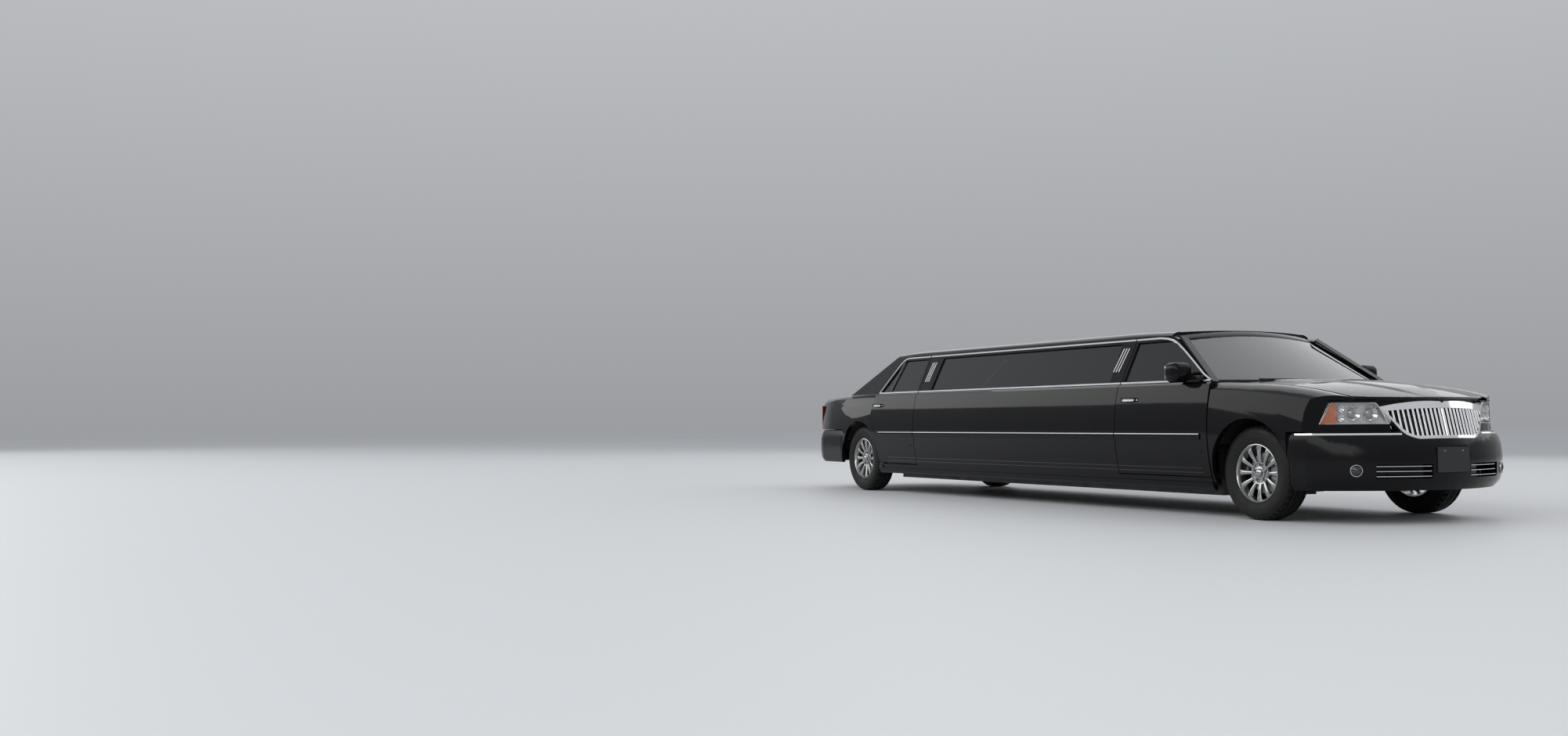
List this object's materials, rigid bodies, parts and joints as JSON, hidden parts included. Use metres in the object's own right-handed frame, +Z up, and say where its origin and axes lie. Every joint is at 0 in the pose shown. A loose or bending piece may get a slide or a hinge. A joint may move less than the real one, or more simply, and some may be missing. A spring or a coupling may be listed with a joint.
{
  "type": "stretch limousine",
  "caption": "Long black stretch limousine with chrome waterfall grille, chrome spoked wheels, dark glass, opening doors, hood and trunk lid.",
  "frame": {"origin": "on the ground under the middle of the overall length and width", "axes": "+X towards the front bumper, +Y to the car's left, +Z up"},
  "size_m": [8.372, 2.194, 1.5124],
  "materials": {
    "black_paint": "gloss",
    "tinted_glass": "gloss",
    "tyre_rubber": "matte",
    "bright_chrome": "polished",
    "lamp_lens": "gloss",
    "red_lens": "gloss",
    "chassis_black": "satin",
    "cast_metal": "matte",
    "steel": "satin",
    "black_plastic": "matte",
    "dark_leather": "satin"
  },
  "bodies": {
    "body": {"cowl": "chassis_black", "dashboard": "black_plastic", "driveshaft": "chassis_black", "engine": "cast_metal", "exhaust": "steel", "floor_pan": "chassis_black", "frame_cross_members": "chassis_black", "frame_rails": "chassis_black", "front_arms": "chassis_black", "front_bumper": "black_paint", "front_fender_left": "black_paint", "front_fender_right": "black_paint", "front_seats": "dark_leather", "fuel_tank": "chassis_black", "grille": "bright_chrome", "headlamps": "lamp_lens", "lounge_seats": "dark_leather", "partition": "black_plastic", "plate_bracket": "black_plastic", "rear_axle": "chassis_black", "rear_bumper": "black_paint", "rear_deck": "chassis_black", "rear_quarter_left": "black_paint", "rear_quarter_right": "black_paint", "rear_window": "tinted_glass", "rockers": "black_paint", "roof": "black_paint", "steering_wheel": "black_plastic", "stretch_side_left": "black_paint", "stretch_side_right": "black_paint", "stretch_windows": "tinted_glass", "tail_lamps": "red_lens", "trunk_floor": "chassis_black", "wheel_liners": "black_plastic", "windshield": "tinted_glass", "windshield_pillars": "black_paint", "wipers": "black_plastic"},
    "hood": {"hood": "black_paint"},
    "trunk_lid": {"trunk_lid": "black_paint"},
    "front_door_left": {"front_door_left": "black_paint", "front_door_glass_left": "tinted_glass", "mirror_left": "black_paint"},
    "rear_door_left": {"rear_door_left": "black_paint", "rear_door_glass_left": "tinted_glass"},
    "knuckle_left": {"knuckle_left": "cast_metal"},
    "wheel_front_left": {"tyre_front_left": "tyre_rubber", "rim_front_left": "bright_chrome"},
    "wheel_rear_left": {"tyre_rear_left": "tyre_rubber", "rim_rear_left": "bright_chrome"},
    "front_door_right": {"front_door_right": "black_paint", "front_door_glass_right": "tinted_glass", "mirror_right": "black_paint"},
    "rear_door_right": {"rear_door_right": "black_paint", "rear_door_glass_right": "tinted_glass"},
    "knuckle_right": {"knuckle_right": "cast_metal"},
    "wheel_front_right": {"tyre_front_right": "tyre_rubber", "rim_front_right": "bright_chrome"},
    "wheel_rear_right": {"tyre_rear_right": "tyre_rubber", "rim_rear_right": "bright_chrome"}
  },
  "joints": [
    {"name": "steer_left", "type": "hinge", "parent": "body", "child": "knuckle_left", "pos_m": [3.181, 0.77, 0.351], "axis": [0, 0, 1], "range_deg": [-34, 34]},
    {"name": "wheel_front_left_spin", "type": "hinge", "parent": "knuckle_left", "child": "wheel_front_left", "pos_m": [3.181, 0.805, 0.351], "axis": [0, 1, 0], "continuous": true},
    {"name": "wheel_rear_left_spin", "type": "hinge", "parent": "body", "child": "wheel_rear_left", "pos_m": [-2.857, 0.82, 0.351], "axis": [0, 1, 0], "continuous": true},
    {"name": "front_door_left_swing", "type": "hinge", "parent": "body", "child": "front_door_left", "pos_m": [2.686, 0.975, 0.65], "axis": [0, 0, -1], "range_deg": [0, 65]},
    {"name": "rear_door_left_swing", "type": "hinge", "parent": "body", "child": "rear_door_left", "pos_m": [-1.729, 0.975, 0.65], "axis": [0, 0, -1], "range_deg": [0, 65]},
    {"name": "steer_right", "type": "hinge", "parent": "body", "child": "knuckle_right", "pos_m": [3.181, -0.77, 0.351], "axis": [0, 0, 1], "range_deg": [-34, 34]},
    {"name": "wheel_front_right_spin", "type": "hinge", "parent": "knuckle_right", "child": "wheel_front_right", "pos_m": [3.181, -0.805, 0.351], "axis": [0, 1, 0], "continuous": true},
    {"name": "wheel_rear_right_spin", "type": "hinge", "parent": "body", "child": "wheel_rear_right", "pos_m": [-2.857, -0.82, 0.351], "axis": [0, 1, 0], "continuous": true},
    {"name": "front_door_right_swing", "type": "hinge", "parent": "body", "child": "front_door_right", "pos_m": [2.686, -0.975, 0.65], "axis": [0, 0, 1], "range_deg": [0, 65]},
    {"name": "rear_door_right_swing", "type": "hinge", "parent": "body", "child": "rear_door_right", "pos_m": [-1.729, -0.975, 0.65], "axis": [0, 0, 1], "range_deg": [0, 65]},
    {"name": "hood_lift", "type": "hinge", "parent": "body", "child": "hood", "pos_m": [2.745, 0, 1.024], "axis": [0, -1, 0], "range_deg": [0, 48]},
    {"name": "trunk_lift", "type": "hinge", "parent": "body", "child": "trunk_lid", "pos_m": [-3.347, 0, 1.044], "axis": [0, 1, 0], "range_deg": [0, 75]}
  ],
  "couplings": [
    {"joint": "steer_right", "follows": "steer_left", "ratio": 1}
  ]
}
